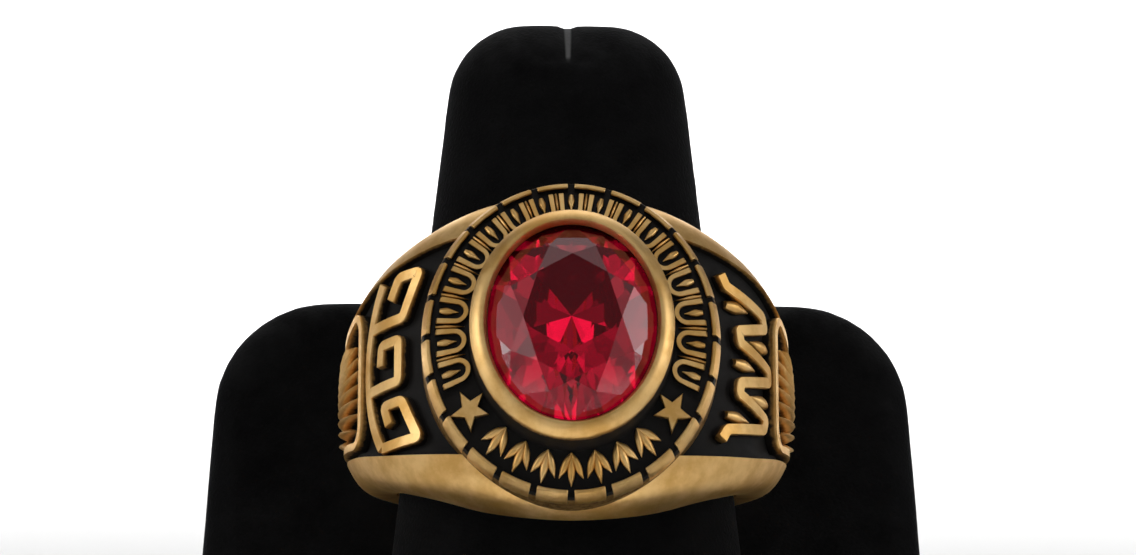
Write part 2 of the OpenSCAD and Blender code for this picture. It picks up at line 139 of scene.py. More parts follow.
# From the ring's frame
COS, SIN = math.cos(math.radians(LEAN)), math.sin(math.radians(LEAN))
FINGER_Y = -FOOT_D / 2 + FOOT_MARGIN + FINGER_T / 2 / COS
ORIGIN = np.array([0, FINGER_Y + RING_UP * SIN, FOOT_H + RING_UP * COS])
TURN = np.array([[1, 0, 0], [0, COS, SIN], [0, -SIN, COS]])
PANEL_Y = BORE_R + BACK_WALL + PANEL_GAP
TIP_Z = float(ORIGIN[2] + COS * (FINGER_UP - FINGER_T / 2) + FINGER_T / 2) / 1000


def to_world(points):
    """Ring frame in millimetres to the row's frame in metres."""
    return (np.asarray(points, float) @ TURN.T + ORIGIN) / 1000


# Mesh building
class Shape:
    """Gathers vertices, faces and the share of dark patina at each vertex, which in the stone's
    seat and under its lip is painted shade.
    """

    def __init__(self):
        self.points, self.faces, self.dark = [], [], []

    def add(self, points, faces, dark):
        start = len(self.points)
        self.points.extend(np.asarray(points, float).tolist())
        self.dark.extend(np.broadcast_to(dark, len(points)).tolist())
        self.faces.extend([[start + i for i in face] for face in faces])

    def loft(self, rings, dark, closed=False, caps="fan"):
        """A solid through rings, an array of count x points x 3.

        dark is given for each ring, or for each point of each ring."""
        rings = np.asarray(rings, float)
        count, n = rings.shape[:2]
        dark = np.asarray(dark, float)
        if dark.ndim < 2:
            dark = np.repeat(np.broadcast_to(dark, count)[:, None], n, axis=1)
        faces = []
        for i in range(count if closed else count - 1):
            a, b = i * n, (i + 1) % count * n
            faces += [[a + j, a + (j + 1) % n, b + (j + 1) % n, b + j] for j in range(n)]
        if not closed:
            last = (count - 1) * n
            if caps == "strips":
                for k in range(n // 2 - 1):
                    quad = [k, k + 1, n - 2 - k, n - 1 - k]
                    faces += [quad[::-1], [last + q for q in quad]]
            else:
                faces += [list(range(n))[::-1], [last + j for j in range(n)]]
        self.add(rings.reshape(-1, 3), faces, dark.reshape(-1))

    def piece(self, name, material, angle):
        """A Blender object of what was gathered, with edges sharp above angle, in degrees."""
        mesh = bpy.data.meshes.new(name)
        mesh.from_pydata(to_world(self.points).tolist(), [], self.faces)
        attribute = mesh.attributes.new("patina_and_shade", "FLOAT", "POINT")
        attribute.data.foreach_set("value", np.asarray(self.dark, np.float32))
        mesh.validate()
        build = bmesh.new()
        build.from_mesh(mesh)
        bmesh.ops.recalc_face_normals(build, faces=build.faces)
        build.to_mesh(mesh)
        build.free()
        mesh.shade_smooth()
        mesh.set_sharp_from_angle(angle=math.radians(angle))
        mesh.materials.append(material)
        thing = bpy.data.objects.new(name, mesh)
        bpy.context.scene.collection.objects.link(thing)
        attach(thing, "root")
        return thing


def on_field(u, v, h):
    """Places on the ornament field: u round it from its bottom, v outwards, h up."""
    a = np.asarray(u, float) / FIELD_R
    v, h = np.asarray(v, float), np.asarray(h, float)
    return np.stack([(STONE_W / 2 + FIELD_MID + v) * np.sin(a),
                     -(FIELD_IN_Y - FIELD_RISE * (v / FIELD_W + 0.5) + h),
                     -(STONE_L / 2 + FIELD_MID + v) * np.cos(a)], axis=-1)


def on_panel(side):
    """Places on a side panel: u round the ring from the head, v along the finger, h up."""
    def place(u, v, h):
        a = np.degrees(np.asarray(u, float) / PANEL_R)
        r = outer_r(a) - PANEL_DEPTH + h
        v = np.broadcast_to(v, r.shape)
        return np.stack([side * r * np.sin(np.radians(a)), -r * np.cos(np.radians(a)), v], axis=-1)
    return place


CORNER_STEPS = 4
# The most of a straight run that a rounded corner takes up
CORNER_SHARE = 0.45


def rounded(path, radius):
    """The path with each corner turned on a short arc-like curve."""
    path = [np.asarray(p, float) for p in path]
    out = [path[0]]
    for before, p, after in zip(path, path[1:], path[2:]):
        back, on = before - p, after - p
        back_run, on_run = np.linalg.norm(back), np.linalg.norm(on)
        reach = min(radius, back_run * CORNER_SHARE, on_run * CORNER_SHARE)
        a, b = p + back / back_run * reach, p + on / on_run * reach
        for k in range(CORNER_STEPS + 1):
            t = k / CORNER_STEPS
            out.append(a * (1 - t) ** 2 + 2 * p * t * (1 - t) + b * t * t)
    out.append(path[-1])
    return np.array(out)


def spaced(path, step):
    """The path with points added so that none is further apart than step."""
    out = [path[0]]
    for a, b in zip(path, path[1:]):
        n = max(1, math.ceil(np.linalg.norm(b - a) / step))
        out += [a + (b - a) * (k + 1) / n for k in range(n)]
    return np.array(out)


# Half sections of raised work, as [share of half width, share of height]
FLAT = [[1.0, 0.0], [0.98, 0.7], [0.93, 0.92], [0.84, 1.0]]
RIDGE = [[1.0, 0.0], [0.92, 0.4], [0.62, 0.72], [0.24, 0.95]]
DOME = [[1.0, 0.0], [0.94, 0.38], [0.76, 0.72], [0.42, 0.94]]
# The shares of the height between which the patina wears off
FLAT_WEAR, ROUND_WEAR = (0.4, 1.0), (0.05, 0.7)


def unit(d):
    return d / np.linalg.norm(d, axis=1)[:, None]


def sweep(shape, place, path, width, height, section=FLAT):
    """Raised work along a path of [u, v] points, with its width and height at each point."""
    path = np.asarray(path, float)
    n = len(path)
    width, height = np.broadcast_to(width, n), np.broadcast_to(height, n)
    before = np.diff(path, axis=0, prepend=path[:1])
    after = np.diff(path, axis=0, append=path[-1:])
    before[0], after[-1] = after[0], before[-1]
    both = unit(before) + unit(after)
    side = np.stack([-both[:, 1], both[:, 0]], 1) / (both ** 2).sum(1)[:, None]
    half = [(1.0, None)] + [(s, h) for s, h in section]
    crest = [] if section is FLAT else [(0.0, 1.0)]
    whole = half + crest + [(-s, h) for s, h in half[::-1]]
    share = np.array([s for s, _ in whole])
    wear = FLAT_WEAR if section is FLAT else ROUND_WEAR
    tone = [1.0 if h is None else float(1 - smooth(h, *wear)) for _, h in whole]
    rings = []
    for i in range(n):
        up = np.array([-ROOT if h is None else h * height[i] for _, h in whole])
        q = path[i] + share[:, None] * side[i] * width[i]
        rings.append(place(q[:, 0], q[:, 1], up))
    shape.loft(rings, [tone] * n)


# How far a bevelled end reaches, and its shares of the width and height
END_REACH, END_WIDTH, END_HEIGHT = 0.07, 0.86, 0.7


def eased_ends(path, width, height):
    """A path whose two ends are bevelled: points, widths and heights."""
    path = np.asarray(path, float)
    d0 = (path[1] - path[0]) / np.linalg.norm(path[1] - path[0])
    d1 = (path[-2] - path[-1]) / np.linalg.norm(path[-2] - path[-1])
    path = np.vstack([path[:1], path[0] + d0 * END_REACH, path[1:-1], path[-1] + d1 * END_REACH,
                      path[-1:]])
    w, h = np.full(len(path), width), np.full(len(path), height)
    w[[0, -1]] *= END_WIDTH
    h[[0, -1]] *= END_HEIGHT
    return path, w, h


STROKE_STEP = 0.3


def stroke(shape, place, path, width, height, corner):
    path = spaced(rounded(path, corner), STROKE_STEP)
    sweep(shape, place, *eased_ends(path, width, height))


# Outlines of leaves: share of the length, of the width and of the height
LEAF = np.array([[0.00, 0.20, 0.50], [0.35, 0.95, 1.00], [0.70, 0.75, 0.90], [1.00, 0.06, 0.40]])
BUD = np.array([[0.00, 0.55, 0.70], [0.40, 1.00, 1.00], [1.00, 0.10, 0.50]])


def leaf(shape, place, foot, heading, length, width, height, rows=LEAF, section=RIDGE, bend=0.0):
    """A ridged leaf from foot along heading, in degrees from +u towards +v."""
    t = np.linspace(0, 1, 11)
    wide = np.interp(t, rows[:, 0], rows[:, 1])
    tall = np.interp(t, rows[:, 0], rows[:, 2])
    for _ in range(2):
        wide[1:-1] = (wide[:-2] + 2 * wide[1:-1] + wide[2:]) / 4
        tall[1:-1] = (tall[:-2] + 2 * tall[1:-1] + tall[2:]) / 4
    a = math.radians(heading)
    along, across = np.array([math.cos(a), math.sin(a)]), np.array([-math.sin(a), math.cos(a)])
    path = np.asarray(foot, float) + t[:, None] * length * along \
        + (bend * length * t * t)[:, None] * across
    sweep(shape, place, path, wide * width, tall * height, section)


# The band

# Angles from the head at which half the band has its sections, closest at the panel's end
SECTIONS = np.concatenate([np.arange(0, 104, 2.0), np.linspace(104, PANEL_END, 24),
                           [PANEL_END + 0.4, PANEL_END + 1.4], np.arange(126, 181, 3.0)])
# Where each section has its points up the polished slope
SLOPE_STEPS = (0, 0.04, 0.1, 0.2, 0.3, 0.4, 0.5, 0.6, 0.7, 0.8, 0.88, 0.94, 0.98, 1)
# How far the panel's two edges are eased
PANEL_EASE = 0.05
# Within this share of the plate's outline, squared, the band stays this thin
UNDER_HEAD, UNDER_HEAD_T = 0.6, 0.5
# Shares of patina: in the finger hole, at the foot of the slope, and from the slope's top over
# the panel's edge to the middle of its floor
HOLE_SHADE, FOOT_SHADE = [0.35, 0.3], [0.12, 0.05]
PANEL_SHADE = (0.0, 0.0, 0.15, 0.75, 1.0, 1.0, 1.0, 1.0)
# How far two points at a crisp edge are apart
CRISP = 0.01


def build_band(shape):
    whole = np.concatenate([SECTIONS, 360 - SECTIONS[-2:0:-1]])
    rings, dark = [], []
    for angle in whole:
        a = 360 - angle if angle > 180 else angle
        wide_open = a < PANEL_END
        half = max(float(panel_half(a)), TIP) if wide_open else TIP
        low = np.array([BORE_R, edge_half(a)])
        high = np.array([outer_r(a), face_half(a)])
        run = high - low
        out = np.array([-run[1], run[0]]) / np.linalg.norm(run)
        slope = [low + run * t + out * SLOPE_BULGE * math.sin(math.pi * t) for t in SLOPE_STEPS]
        lip = min(half + PANEL_DEPTH / 5, face_half(a) - TIP)
        floor_r = outer_r(a) - PANEL_DEPTH * wide_open
        ease = PANEL_EASE * wide_open
        upper = [[BORE_R, edge_half(a) * 0.5], [BORE_R, edge_half(a) - 0.3]]
        upper += [list(p) for p in slope[:-1]]
        upper += [[outer_r(a) - CRISP, slope[-1][1] + CRISP],
                  [outer_r(a), (face_half(a) + lip) / 2],
                  [outer_r(a) - ease, lip - CRISP],
                  [floor_r + (outer_r(a) - floor_r) * 0.5, (lip + half) / 2],
                  [floor_r + ease, half + CRISP],
                  [floor_r, half * 0.92], [floor_r, half * 0.5], [floor_r, 0.0]]
        shade = HOLE_SHADE + FOOT_SHADE + [0.0] * (len(slope) - 3) \
            + [tone * wide_open for tone in PANEL_SHADE]
        loop = np.array(upper + [[r, -z] for r, z in upper[-2::-1]])
        s, c = math.sin(math.radians(angle)), math.cos(math.radians(angle))
        if a < 90:
            # Under the head plate the band keeps clear of the stone's seat
            share = (loop[:, 0] * s / PLATE_HALF_W) ** 2 + (loop[:, 1] / PLATE_HALF_L) ** 2
            sunk = np.minimum(loop[:, 0], BORE_R + UNDER_HEAD_T)
            loop[:, 0] = np.where(share < UNDER_HEAD, sunk, loop[:, 0])
        rings.append(np.stack([loop[:, 0] * s, -loop[:, 0] * c, loop[:, 1]], 1))
        dark.append(shade + shade[-2::-1])
    shape.loft(rings, dark, closed=True)


# The head
OVAL_POINTS = 192


def oval(out, y):
    """A ring of points a distance out from the stone's girdle, at level y."""
    a = -(np.arange(OVAL_POINTS) + 0.5) * 2 * math.pi / OVAL_POINTS
    return np.stack([(STONE_W / 2 + out) * np.cos(a), np.full(OVAL_POINTS, -y),
                     (STONE_L / 2 + out) * np.sin(a)], 1)


def build_plate(shape):
    foot = oval(PLATE_OUT, 0)
    foot[:, 1] = -np.sqrt((BORE_R + PLATE_ROOT) ** 2 - foot[:, 0] ** 2)
    groove_y = FIELD_OUT_Y - 0.02
    # Distance outside the girdle, level and share of patina, from the foot up to the lip and down
    # into the seat. Under the lip and in the seat below the stone the share is painted shade.
    rows = [
        [PLATE_OUT - 0.03, RIM_Y - RIM_SLOPE_H, 0.5],
        [RIM_OUT + 0.14, groove_y, 1.0],
        [FIELD_OUT - 0.05, groove_y, 1.0],
        [FIELD_MID, (FIELD_IN_Y + FIELD_OUT_Y) / 2, 1.0],
        [BEZEL_T + 0.08, FIELD_IN_Y - 0.02, 1.0],
        [BEZEL_T + 0.02, FIELD_IN_Y + 0.1, 1.0],
        [BEZEL_T + 0.01, FIELD_IN_Y + 0.8, 1.0],
        [BEZEL_T, FIELD_IN_Y + 1.5, 0.9],
        [BEZEL_T, FIELD_IN_Y + 1.85, 0.6],
        [BEZEL_T, LIP_Y - BEZEL_FALL - 0.1, 0.25],
        [BEZEL_T - 0.03, LIP_Y - BEZEL_FALL + 0.03, 0.0],
        [BEZEL_T - 0.12, LIP_Y - BEZEL_FALL + 0.15, 0.0],
        [BEZEL_T * 0.66, LIP_Y - BEZEL_FALL * 0.5, 0.0],
        [BEZEL_T * 0.45, LIP_Y - BEZEL_FALL * 0.27, 0.0],
        [BEZEL_T * 0.25, LIP_Y - BEZEL_FALL * 0.1, 0.0],
        [BEZEL_T * 0.08, LIP_Y - BEZEL_FALL * 0.01, 0.0],
        [-0.04, LIP_Y - 0.02, 0.0],
        [-0.1, LIP_Y - 0.1, 0.0],
        [-0.15, LIP_Y - 0.22, 0.0],
        [-LIP_REACH + 0.02, LIP_Y - 0.5, 0.05],
        # Under the lip and in the seat below the stone: painted shade
        [-LIP_REACH, GIRDLE_Y + GIRDLE_T + STONE_GAP + LIP_REACH + 0.04, 0.7],
        [2 * STONE_GAP, GIRDLE_Y + GIRDLE_T + STONE_GAP, 1.0],
        [2 * STONE_GAP, GIRDLE_Y - STONE_GAP, 1.0],
        [(2 * STONE_GAP - STONE_W / 2 + LIP_REACH) / 2,
         (GIRDLE_Y + POINT_Y) / 2 - STONE_GAP, 1.0],
        [-STONE_W / 2 + LIP_REACH, POINT_Y - STONE_GAP, 1.0]]
    shape.loft([foot] + [oval(out, y) for out, y, _ in rows], [0.5] + [row[2] for row in rows],
               caps="strips")


# Sections of a bar, as shares of its half length, and how its two end faces draw in and darken
BAR_STEPS = (-1, -0.96, -0.6, -0.2, 0.2, 0.6, 0.96, 1)
BAR_INSET, BAR_END_DARK = np.array([0.1, 0.05]), 0.45


def build_rim(shape):
    """The bars of the rim, with dark notches between them."""
    # Distance outside the girdle, level and share of patina, from the field outwards
    section = np.array([
        [FIELD_OUT - 0.02, FIELD_OUT_Y - 0.3, 1.0],
        [FIELD_OUT - 0.015, FIELD_OUT_Y + 0.1, 0.9],
        [FIELD_OUT - 0.005, RIM_Y - 0.06, 0.2],
        [FIELD_OUT + 0.04, RIM_Y, 0.0],
        [RIM_OUT - 0.05, RIM_Y, 0.0],
        [RIM_OUT + 0.02, RIM_Y - 0.035, 0.0],
        [RIM_OUT + RIM_FLARE * 0.5, RIM_Y - RIM_SLOPE_H * 0.45, 0.0],
        [PLATE_OUT, RIM_Y - RIM_SLOPE_H, 0.1],
        [PLATE_OUT, RIM_Y - RIM_SLOPE_H - 0.5, 0.3],
        [PLATE_OUT - 0.3, RIM_Y - RIM_SLOPE_H - 0.5, 1.0]])
    mid = (section[:, :2].min(0) + section[:, :2].max(0)) / 2
    for k in range(RIM_BARS):
        centre = (k + 0.5) * 2 * math.pi / RIM_BARS
        radius = math.hypot((STONE_W / 2 + FIELD_OUT) * math.cos(centre),
                            (STONE_L / 2 + FIELD_OUT) * math.sin(centre))
        half = math.pi / RIM_BARS - RIM_NOTCH / 2 / radius
        rings, dark = [], []
        for t in BAR_STEPS:
            a = centre + half * t
            at_end = abs(t) == 1
            q = section[:, :2] + (mid - section[:, :2]) * BAR_INSET * at_end
            rings.append(np.stack([(STONE_W / 2 + q[:, 0]) * math.sin(a), -q[:, 1],
                                   -(STONE_L / 2 + q[:, 0]) * math.cos(a)], 1))
            dark.append(np.maximum(section[:, 2], BAR_END_DARK * at_end))
        shape.loft(rings, dark)


def round_field(degrees):
    """How far round the field an angle at its middle reaches."""
    return math.radians(degrees) * FIELD_R


STAR_WAIST = 0.42
# Share of the star's outline, height and share of patina, from its root to its middle
STAR_ROWS = ((1, -ROOT, 1), (0.985, 0.16, 0.55), (0.94, 0.27, 0.1), (0.86, ORNAMENT_H, 0),
             (0.5, ORNAMENT_H, 0), (0.02, ORNAMENT_H, 0))


def build_star(shape, u):
    k = np.arange(10)
    a = math.pi / 2 + u / FIELD_R + k * math.pi / 5
    r = np.where(k % 2 == 0, STAR_R, STAR_R * STAR_WAIST)
    shape.loft([on_field(u + r * share * np.cos(a), r * share * np.sin(a), np.full(10, h))
                for share, h, _ in STAR_ROWS], [tone for _, _, tone in STAR_ROWS])


# Palmettes: height and foot as shares of the field's width, and a leaf's width as one of the
# height. The outer leaves' angle, share of the height and bend
PALMETTE_TALL, PALMETTE_FOOT, PALMETTE_LEAF = 0.82, -0.42, 0.34
OUTER_TURN, OUTER_TALL, OUTER_BEND = 31, 0.86, 0.08


def build_palmette(shape, u):
    """Three leaves from one foot."""
    tall, foot = FIELD_W * PALMETTE_TALL, [u, FIELD_W * PALMETTE_FOOT]
    for side in (-1, 1):
        leaf(shape, on_field, foot, 90 - side * OUTER_TURN, tall * OUTER_TALL,
             tall * PALMETTE_LEAF, ORNAMENT_H, bend=side * OUTER_BEND)
    leaf(shape, on_field, foot, 90, tall, tall * PALMETTE_LEAF, ORNAMENT_H)


# Eggs: height as a share of the field's width, and the shell's radius and a stroke's width as
# shares of the pitch
EGG_TALL, EGG_SHELL, EGG_STROKE = 0.74, 0.33, 0.17


def build_egg(shape, u, pitch, dart):
    """An egg in its shell, open at the top, with a dart on its right."""
    tall = FIELD_W * EGG_TALL
    shell, top = pitch * EGG_SHELL, tall / 2
    leaf(shape, on_field, [u, top * 0.85], -90, tall * 0.66, shell * 0.85, ORNAMENT_H, BUD, DOME)
    turn = np.radians(np.linspace(180, 360, 13))
    arc = [[u + shell * math.cos(t), -top + shell + shell * math.sin(t)] for t in turn]
    path = spaced(np.array([[u - shell, top]] + arc + [[u + shell, top]]), 0.25)
    sweep(shape, on_field, *eased_ends(path, pitch * EGG_STROKE, ORNAMENT_H))
    if dart:
        leaf(shape, on_field, [u + pitch / 2, top], -90, tall, pitch * EGG_STROKE, ORNAMENT_H,
             BUD, RIDGE)


# Angles from the bottom of the field to the stars, the last palmettes and the first eggs
STAR_ANGLE, PALMETTE_ANGLE, EGG_ANGLE = 56, 38, 74


def build_field(shape):
    for side in (-1, 1):
        build_star(shape, side * round_field(STAR_ANGLE))
    for k in range(PALMETTES):
        build_palmette(shape, round_field(PALMETTE_ANGLE) * (2 * k / (PALMETTES - 1) - 1))
    pitch = 2 * round_field(180 - EGG_ANGLE) / (EGGS - 1)
    for k in range(EGGS):
        build_egg(shape, round_field(EGG_ANGLE) + k * pitch, pitch, k < EGGS - 1)


def plate_edge(v):
    """How far round the panel the head plate reaches, at v along the finger."""
    reach = PLATE_HALF_W * math.sqrt(max(0, 1 - (v / PLATE_HALF_L) ** 2))
    return PANEL_R * math.asin(min(1, reach / PANEL_R))


# The key's band: its half length along the finger, its width and its gap to the head plate
KEY_REACH = float(face_half(48)) - PANEL_LIP - KEY_T * 0.9
KEY_W, KEY_CLEAR = 3.6, 0.5


def key_point(across, v):
    """A place on the key's band: across it from the plate, from 0 to 1, and v along it."""
    return [plate_edge(v) + KEY_CLEAR + KEY_W * across, v]


def key_line(ends, steps):
    """A straight line on the key's band, bent round with the plate's edge."""
    out = []
    for (a0, v0), (a1, v1) in zip(ends, ends[1:]):
        out += [key_point(a0 + (a1 - a0) * k / steps, v0 + (v1 - v0) * k / steps)
                for k in range(steps)]
    return out + [key_point(*ends[-1])]


# How far across the band the key's hooks end
KEY_HOOK = 0.52


def build_key(shape, place):
    """A running key: a spine along the finger with three hooked turns."""
    turns, half_t = 3, KEY_T / 2 / KEY_W
    cell = 2 * KEY_REACH / (3 * turns - 1)
    spine = key_line([[1 - half_t, KEY_REACH], [1 - half_t, -KEY_REACH]], 24)
    stroke(shape, place, spine, KEY_T, KEY_H, corner=0.01)
    for k in range(turns):
        low = -KEY_REACH + 3 * cell * k
        ends = [[1 - half_t, low], [half_t, low], [half_t, low + 2 * cell],
                [KEY_HOOK, low + 2 * cell], [KEY_HOOK, low + cell]]
        path = []
        for pair in zip(ends, ends[1:]):
            path += key_line(pair, 1)[:-1]
        path.append(key_point(*ends[-1]))
        stroke(shape, place, path, KEY_T, KEY_H, corner=0.3)


def build_zigzag(shape, place):
    """A zigzag along the finger, with a bud in each of its bays."""
    turns, half_t, flat = 6, KEY_T / 2 / KEY_W, KEY_T / 2
    path = [key_point(half_t if k % 2 == 0 else 1 - half_t,
                      (KEY_REACH - flat) * (1 - 2 * k / turns) + side * flat)
            for k in range(turns + 1) for side in (1, -1)]
    stroke(shape, place, path, KEY_T, KEY_H, corner=0.2)
    for k in range(1, turns):
        even = k % 2 == 0
        leaf(shape, place, key_point(1 if even else 0, KEY_REACH * (1 - 2 * k / turns)),
             180 if even else 0, KEY_W * 0.55, KEY_T * 1.3, KEY_H, BUD, DOME)


# Where the fan's border crosses the panel, and how far it lies inside the panel's edges
BORDER_ANGLE, BORDER_INSET = 65, 0.55


def round_panel(degrees):
    """How far round the panel an angle from the head reaches."""
    return math.radians(degrees) * PANEL_R


def border_half(a):
    return float(panel_half(a)) - BORDER_INSET


def build_border(shape, place):
    """A border across the panel and back along both its edges."""
    edge = [[round_panel(a), border_half(a)] for a in range(100, 67, -4)]
    corner = [round_panel(BORDER_ANGLE), border_half(BORDER_ANGLE) - 0.9]
    half = edge + [corner]
    stroke(shape, place, half + [[u, -v] for u, v in half[::-1]], BORDER_T, BORDER_H, corner=0.5)


# Fans: half width of a leaf, gap between their feet, and how much shorter the outer ones are
FAN_LEAF, FAN_GAP, FAN_SHORTER = 0.95, 0.12, 0.012


def build_fan(shape, place):
    """Nine leaves that spread from the panel's end to the border, the middle one on top."""
    foot = round_panel(PANEL_END - 8)
    length = foot - round_panel(BORDER_ANGLE + 4)
    half = border_half(BORDER_ANGLE + 10) - BORDER_T
    for k in (-4, 4, -3, 3, -2, 2, -1, 1, 0):
        along, across = length * (1 - FAN_SHORTER * k * k), half * k / 4.2
        leaf(shape, place, [foot, k * FAN_GAP], 180 - math.degrees(math.atan2(across, along)),
             math.hypot(along, across), FAN_LEAF, FAN_H)


# Materials
def material(name):
    """A new material, its nodes, its links and its shader."""
    made = bpy.data.materials.new(name)
    made.use_nodes = True
    nodes, links = made.node_tree.nodes, made.node_tree.links
    shader = nodes["Principled BSDF"]
    return made, nodes, links, shader


def noise(nodes, links, coords, scale, detail=4.0, rough=0.55, stretch=None):
    source = coords
    if stretch:
        mapping = nodes.new("ShaderNodeMapping")
        mapping.inputs["Scale"].default_value = stretch
        links.new(coords, mapping.inputs["Vector"])
        source = mapping.outputs["Vector"]
    node = nodes.new("ShaderNodeTexNoise")
    node.inputs["Scale"].default_value = scale
    node.inputs["Detail"].default_value = detail
    node.inputs["Roughness"].default_value = rough
    links.new(source, node.inputs["Vector"])
    return node.outputs["Fac"]


def feed(links, socket, value):
    """Sets a socket to a constant, or links it to another socket."""
    if isinstance(value, (int, float, tuple)):
        socket.default_value = value
    else:
        links.new(value, socket)


def calc(nodes, links, operation, a, b):
    node = nodes.new("ShaderNodeMath")
    node.operation = operation
    feed(links, node.inputs[0], a)
    feed(links, node.inputs[1], b)
    return node.outputs[0]


def mix(nodes, links, share, a, b):
    node = nodes.new("ShaderNodeMix")
    node.data_type = "RGBA"
    feed(links, node.inputs["Factor"], share)
    feed(links, node.inputs["A"], a)
    feed(links, node.inputs["B"], b)
    return node.outputs["Result"]


def ramp_share(nodes, links, value, low, high):
    """0 below low, 1 above high, smooth between."""
    node = nodes.new("ShaderNodeMapRange")
    node.interpolation_type = "SMOOTHSTEP"
    node.inputs["From Min"].default_value = low
    node.inputs["From Max"].default_value = high
    links.new(value, node.inputs["Value"])
    return node.outputs["Result"]


def add_bump(nodes, links, shader, height, strength, distance):
    bump = nodes.new("ShaderNodeBump")
    bump.inputs["Strength"].default_value = strength
    bump.inputs["Distance"].default_value = distance
    links.new(height, bump.inputs["Height"])
    links.new(bump.outputs["Normal"], shader.inputs["Normal"])


def attribute_share(nodes, name):
    node = nodes.new("ShaderNodeAttribute")
    node.attribute_name = name
    return node.outputs["Fac"]


GOLD_DEEP, GOLD_PALE = (0.74, 0.42, 0.12, 1), (0.96, 0.635, 0.26, 1)
TARNISH, ENAMEL = (0.36, 0.20, 0.065, 1), (0.005, 0.0042, 0.0038, 1)


def gold_material():
    """Antiqued gold: satin where worn, then tarnish, then black, by an attribute of patina, which
    in the stone's seat and under its lip is painted shade.
    """
    made, nodes, links, shader = material("gold")
    coords = nodes.new("ShaderNodeTexCoord").outputs["Object"]
    patina_and_shade = attribute_share(nodes, "patina_and_shade")
    cloudy = noise(nodes, links, coords, 330.0, 5.0, 0.65)
    fine = noise(nodes, links, coords, 2600.0, 3.0)
    streak = noise(nodes, links, coords, 700.0, 4.0, 0.6, (0.25, 1.6, 2.4))
    gold = mix(nodes, links, ramp_share(nodes, links, cloudy, 0.35, 0.65), GOLD_DEEP, GOLD_PALE)
    wear = calc(nodes, links, "ADD", patina_and_shade,
                calc(nodes, links, "MULTIPLY", calc(nodes, links, "SUBTRACT", fine, 0.5), 0.5))
    black = ramp_share(nodes, links, wear, 0.42, 0.68)
    brown = ramp_share(nodes, links, wear, 0.1, 0.5)
    tarnished = mix(nodes, links, brown, gold, TARNISH)
    links.new(mix(nodes, links, black, tarnished, ENAMEL), shader.inputs["Base Color"])
    metal = calc(nodes, links, "SUBTRACT", 1.0, calc(nodes, links, "MULTIPLY", black, 0.9))
    links.new(metal, shader.inputs["Metallic"])
    shader.inputs["Specular IOR Level"].default_value = 0.2
    rough = calc(nodes, links, "ADD", 0.33, calc(nodes, links, "MULTIPLY", streak, 0.22))
    rough = calc(nodes, links, "ADD", rough, calc(nodes, links, "MULTIPLY", black, 0.2))
    links.new(rough, shader.inputs["Roughness"])
    grain = calc(nodes, links, "ADD", streak, calc(nodes, links, "MULTIPLY", fine, 0.5))
    add_bump(nodes, links, shader, grain, 0.25, 0.00004)
    return made


def stone_material():
    """A clear red stone with the index of corundum."""
    made, _, _, shader = material("stone")
    shader.inputs["Base Color"].default_value = (0.87, 0.002, 0.04, 1)
    shader.inputs["Roughness"].default_value = 0.0
    shader.inputs["IOR"].default_value = 1.76
    shader.inputs["Transmission Weight"].default_value = 0.96
    return made


PILE_DARK, PILE_PALE = (0.0021, 0.0021, 0.0023, 1), (0.0044, 0.0044, 0.0047, 1)
# Colours of the painted light on the upward-facing pile and of the painted highlight in the fold
# at the tip
PAINTED_TOP_LIGHT, FOLD_HIGHLIGHT = (0.021, 0.021, 0.0215, 1), (0.15, 0.15, 0.15, 1)
# The painted highlight's half width in the fold at the tip, in metres, and how fast it narrows
# down the front
FOLD_HALF, FOLD_TAPER = 0.00024, 0.05


def velvet_material():
    """Black velvet, with painted light on the pile where it faces up and a painted highlight in
    the fold at the tip.
    """
    made, nodes, links, shader = material("velvet")
    coords = nodes.new("ShaderNodeTexCoord").outputs["Object"]
    pile = noise(nodes, links, coords, 5200.0, 2.0)
    patch = noise(nodes, links, coords, 90.0, 5.0)
    colour = mix(nodes, links, ramp_share(nodes, links, patch, 0.3, 0.7), PILE_DARK, PILE_PALE)
    # Painted light from above: the pile is lighter, in specks, where it faces up
    facing = nodes.new("ShaderNodeSeparateXYZ")
    links.new(nodes.new("ShaderNodeNewGeometry").outputs["Normal"], facing.inputs[0])
    upward = ramp_share(nodes, links, facing.outputs["Z"], 0.25, 1.0)
    specks = ramp_share(nodes, links, noise(nodes, links, coords, 420.0, 6.0), 0.2, 0.75)
    colour = mix(nodes, links, calc(nodes, links, "MULTIPLY", upward, specks), colour, PAINTED_TOP_LIGHT)
    # Painted highlight in the fold at the tip, which narrows down the front
    fold_glint = attribute_share(nodes, "fold_glint")
    at = nodes.new("ShaderNodeSeparateXYZ")
    links.new(coords, at.inputs[0])
    down = calc(nodes, links, "SUBTRACT", TIP_Z, at.outputs["Z"])
    half = calc(nodes, links, "SUBTRACT", FOLD_HALF,
                calc(nodes, links, "MULTIPLY", down, FOLD_TAPER))
    off = calc(nodes, links, "ABSOLUTE", at.outputs["X"], 0.0)
    inside = ramp_share(nodes, links, calc(nodes, links, "SUBTRACT", half, off), -0.00005, 0.00012)
    fold = calc(nodes, links, "MULTIPLY", calc(nodes, links, "MULTIPLY", inside, fold_glint), 0.9)
    links.new(mix(nodes, links, fold, colour, FOLD_HIGHLIGHT), shader.inputs["Base Color"])
    shader.inputs["Roughness"].default_value = 1.0
    shader.inputs["Specular IOR Level"].default_value = 0.1
    shader.inputs["Sheen Weight"].default_value = 0.02
    shader.inputs["Sheen Roughness"].default_value = 0.35
    shader.inputs["Sheen Tint"].default_value = (0.75, 0.78, 0.9, 1)
    nap = calc(nodes, links, "ADD", pile, calc(nodes, links, "MULTIPLY", patch, 0.6))
    add_bump(nodes, links, shader, nap, 0.6, 0.00012)
    return made


GOLD, STONE, VELVET = gold_material(), stone_material(), velvet_material()

